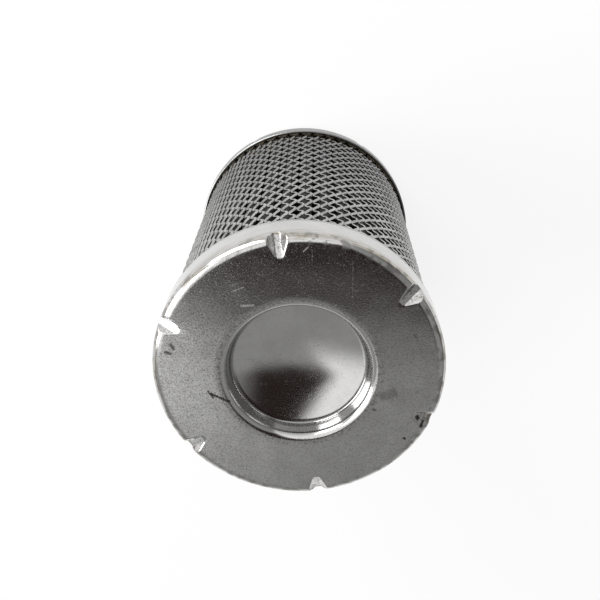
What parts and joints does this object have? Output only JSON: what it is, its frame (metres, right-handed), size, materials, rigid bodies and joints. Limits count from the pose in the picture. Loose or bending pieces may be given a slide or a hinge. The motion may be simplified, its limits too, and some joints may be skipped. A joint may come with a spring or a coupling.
{
  "type": "hydraulic pressure line filter element",
  "caption": "Cylindrical pressure filter element with a pleated pack, expanded-metal guard, stamped end caps and a sealed bore in its open end.",
  "frame": {"origin": "centre of the open end cap's outer face, on which the element stands", "axes": "+Z along the element's axis, from the open end to the closed end"},
  "size_m": [0.068, 0.068, 0.102],
  "materials": {
    "cap_steel": "zinc-plated stamped steel with fine scratches",
    "guard_steel": "galvanised expanded metal",
    "core_steel": "galvanised sheet",
    "dark_wire_cloth": "epoxy-coated wire cloth",
    "bright_wire_cloth": "stainless wire cloth",
    "fleece": "matt polyester fleece",
    "glass_fibre": "matt glass-fibre felt",
    "clip_steel": "bare strip",
    "potting_resin": "cured epoxy resin",
    "seal_rubber": "satin nitrile rubber"
  },
  "bodies": {
    "root": {"closed_end_cap": "cap_steel", "open_end_cap": "cap_steel", "outer_guard": "guard_steel", "core_tube": "core_steel", "outer_support_mesh": "dark_wire_cloth", "outer_fleece": "fleece", "filter_medium": "glass_fibre", "inner_fleece": "fleece", "inner_support_mesh": "bright_wire_cloth", "pleat_seam_clip": "clip_steel", "closed_end_potting": "potting_resin", "open_end_potting": "potting_resin", "seal_carrier": "core_steel", "o_ring": "seal_rubber"}
  },
  "joints": []
}
